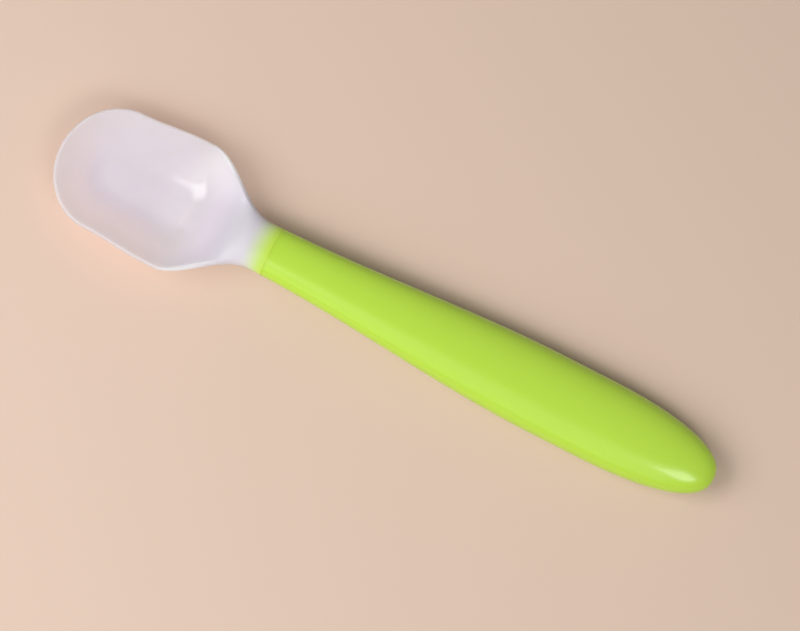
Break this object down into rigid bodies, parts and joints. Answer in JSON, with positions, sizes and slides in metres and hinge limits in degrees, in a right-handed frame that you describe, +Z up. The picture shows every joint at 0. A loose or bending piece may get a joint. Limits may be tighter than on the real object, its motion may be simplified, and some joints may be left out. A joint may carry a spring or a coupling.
{
  "type": "baby spoon",
  "caption": "Soft baby spoon with a translucent milky silicone bowl and a lime green silicone grip, both moulded over a stiff inner core.",
  "frame": {"origin": "middle of the spoon's outline, on the surface that it lies on", "axes": "+X along the spoon from the bowl's tip towards the grip's end, +Z up out of the bowl's hollow"},
  "size_m": [0.148, 0.028, 0.0106],
  "materials": {
    "core_plastic": "natural moulded plastic, uncoloured",
    "green_silicone": "smooth satin to gloss silicone",
    "milky_silicone": "smooth glossy translucent silicone"
  },
  "bodies": {
    "root": {"stiffening_core": "core_plastic", "grip": "green_silicone", "bowl": "milky_silicone"}
  },
  "joints": []
}
